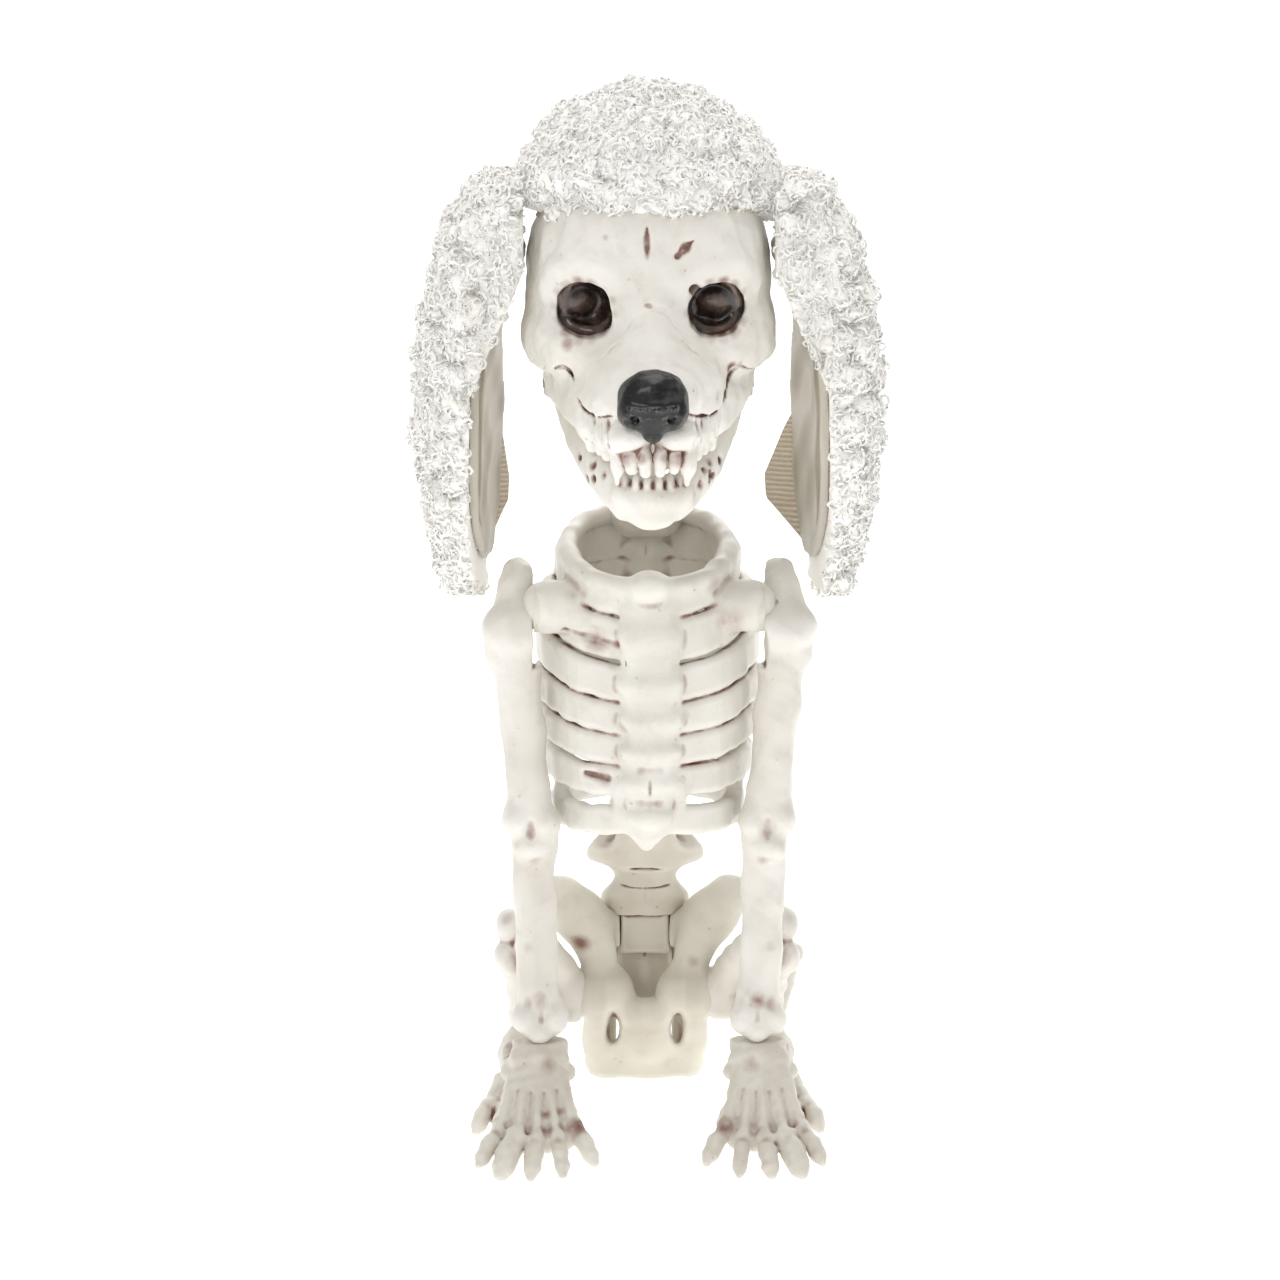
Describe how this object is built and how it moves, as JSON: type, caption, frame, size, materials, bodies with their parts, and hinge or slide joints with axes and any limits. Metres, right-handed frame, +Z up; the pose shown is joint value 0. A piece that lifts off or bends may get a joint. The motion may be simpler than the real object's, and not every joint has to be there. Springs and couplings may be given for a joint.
{
  "type": "sitting poodle skeleton figure",
  "caption": "Bone-coloured plastic skeleton of a sitting poodle with curly white faux-fur crown and ears, jointed at the head, jaw, ears, shoulders, waist, hips and tail",
  "frame": {"origin": "on the floor under the middle of the figure's bounding box", "axes": "+Z up; the dog faces -Y; its own left side is +X"},
  "size_m": [0.1584, 0.1927, 0.354],
  "materials": {
    "ribcage_plastic": "bone-coloured moulded plastic with a brown wash in the hollows",
    "screw_steel": "zinc-plated steel",
    "disc_plastic": "plain pale plastic",
    "pin_steel": "zinc-plated steel",
    "spine_plastic": "bone-coloured moulded plastic with a brown wash in the hollows",
    "pelvis_plastic": "bone-coloured moulded plastic with a brown wash in the hollows",
    "skull_plastic": "bone-coloured moulded plastic with a brown wash in the hollows",
    "nose_black": "glossy black paint over moulded plastic",
    "socket_brown": "glossy dark brown",
    "crown_fur": "curly white faux-fur pile on a knit backing",
    "jaw_plastic": "bone-coloured moulded plastic with a brown wash in the hollows",
    "ear_shell_plastic": "bone-coloured moulded plastic with a brown wash in the hollows",
    "ear_fur": "curly white faux-fur pile on a knit backing",
    "leg_plastic": "bone-coloured moulded plastic with a brown wash in the hollows",
    "paw_plastic": "bone-coloured moulded plastic with a brown wash in the hollows"
  },
  "bodies": {
    "torso": {"ribcage_left": "ribcage_plastic", "ribcage_right": "ribcage_plastic", "ribcage_screws": "screw_steel", "shoulder_disc_left": "disc_plastic", "shoulder_disc_right": "disc_plastic", "shoulder_pin_left": "pin_steel", "shoulder_pin_right": "pin_steel", "lumbar_left": "spine_plastic", "lumbar_right": "spine_plastic", "neck_pin": "pin_steel"},
    "pelvis": {"pelvis": "pelvis_plastic", "waist_pin": "pin_steel", "sacrum_left": "spine_plastic", "sacrum_right": "spine_plastic", "hip_disc_left": "disc_plastic", "hip_disc_right": "disc_plastic", "hip_pin_left": "pin_steel", "hip_pin_right": "pin_steel", "tail_pin": "pin_steel"},
    "tail": {"tail": "spine_plastic"},
    "neck": {"neck": "spine_plastic"},
    "head": {"skull_top": "skull_plastic", "skull_base": "skull_plastic", "skull_screws": "screw_steel", "nose": "nose_black", "eye_socket_left": "socket_brown", "eye_socket_right": "socket_brown", "fur_cap": "crown_fur", "jaw_pin_left": "pin_steel", "jaw_pin_right": "pin_steel"},
    "jaw": {"jaw": "jaw_plastic"},
    "ear_left": {"ear_shell_left": "ear_shell_plastic", "ear_fur_left": "ear_fur", "ear_pin_left": "pin_steel"},
    "ear_right": {"ear_shell_right": "ear_shell_plastic", "ear_fur_right": "ear_fur", "ear_pin_right": "pin_steel"},
    "front_leg_left": {"front_leg_left": "leg_plastic", "front_paw_left": "paw_plastic"},
    "front_leg_right": {"front_leg_right": "leg_plastic", "front_paw_right": "paw_plastic"},
    "hind_leg_left": {"hind_leg_left": "leg_plastic", "hind_paw_left": "paw_plastic"},
    "hind_leg_right": {"hind_leg_right": "leg_plastic", "hind_paw_right": "paw_plastic"}
  },
  "joints": [
    {"name": "waist", "type": "hinge", "parent": "torso", "child": "pelvis", "pos_m": [0, 0.06, 0.053], "axis": [1, 0, 0], "range_deg": [0, 45]},
    {"name": "tail_lift", "type": "hinge", "parent": "pelvis", "child": "tail", "pos_m": [0, 0.069, 0.027], "axis": [1, 0, 0], "range_deg": [-10, 30]},
    {"name": "neck_tilt", "type": "hinge", "parent": "torso", "child": "neck", "pos_m": [0, 0.028, 0.203], "axis": [1, 0, 0], "range_deg": [-25, 3]},
    {"name": "head_turn", "type": "hinge", "parent": "neck", "child": "head", "pos_m": [0, 0.012, 0.245], "axis": [0, 0, 1], "range_deg": [-20, 20]},
    {"name": "jaw_open", "type": "hinge", "parent": "head", "child": "jaw", "pos_m": [0, -0.008, 0.255], "axis": [1, 0, 0], "range_deg": [0, 20]},
    {"name": "ear_left_swing", "type": "hinge", "parent": "head", "child": "ear_left", "pos_m": [0.043, -0.012, 0.3], "axis": [0, -1, 0], "range_deg": [0, 40]},
    {"name": "ear_right_swing", "type": "hinge", "parent": "head", "child": "ear_right", "pos_m": [-0.043, -0.012, 0.3], "axis": [0, 1, 0], "range_deg": [0, 40]},
    {"name": "shoulder_left", "type": "hinge", "parent": "torso", "child": "front_leg_left", "pos_m": [0.038, -0.022, 0.183], "axis": [1, 0, 0], "range_deg": [-60, 0]},
    {"name": "shoulder_right", "type": "hinge", "parent": "torso", "child": "front_leg_right", "pos_m": [-0.038, -0.022, 0.183], "axis": [1, 0, 0], "range_deg": [-60, 0]},
    {"name": "hip_left", "type": "hinge", "parent": "pelvis", "child": "hind_leg_left", "pos_m": [0.0205, 0.041, 0.034], "axis": [1, 0, 0], "range_deg": [0, 80]},
    {"name": "hip_right", "type": "hinge", "parent": "pelvis", "child": "hind_leg_right", "pos_m": [-0.0205, 0.041, 0.034], "axis": [1, 0, 0], "range_deg": [0, 80]}
  ]
}
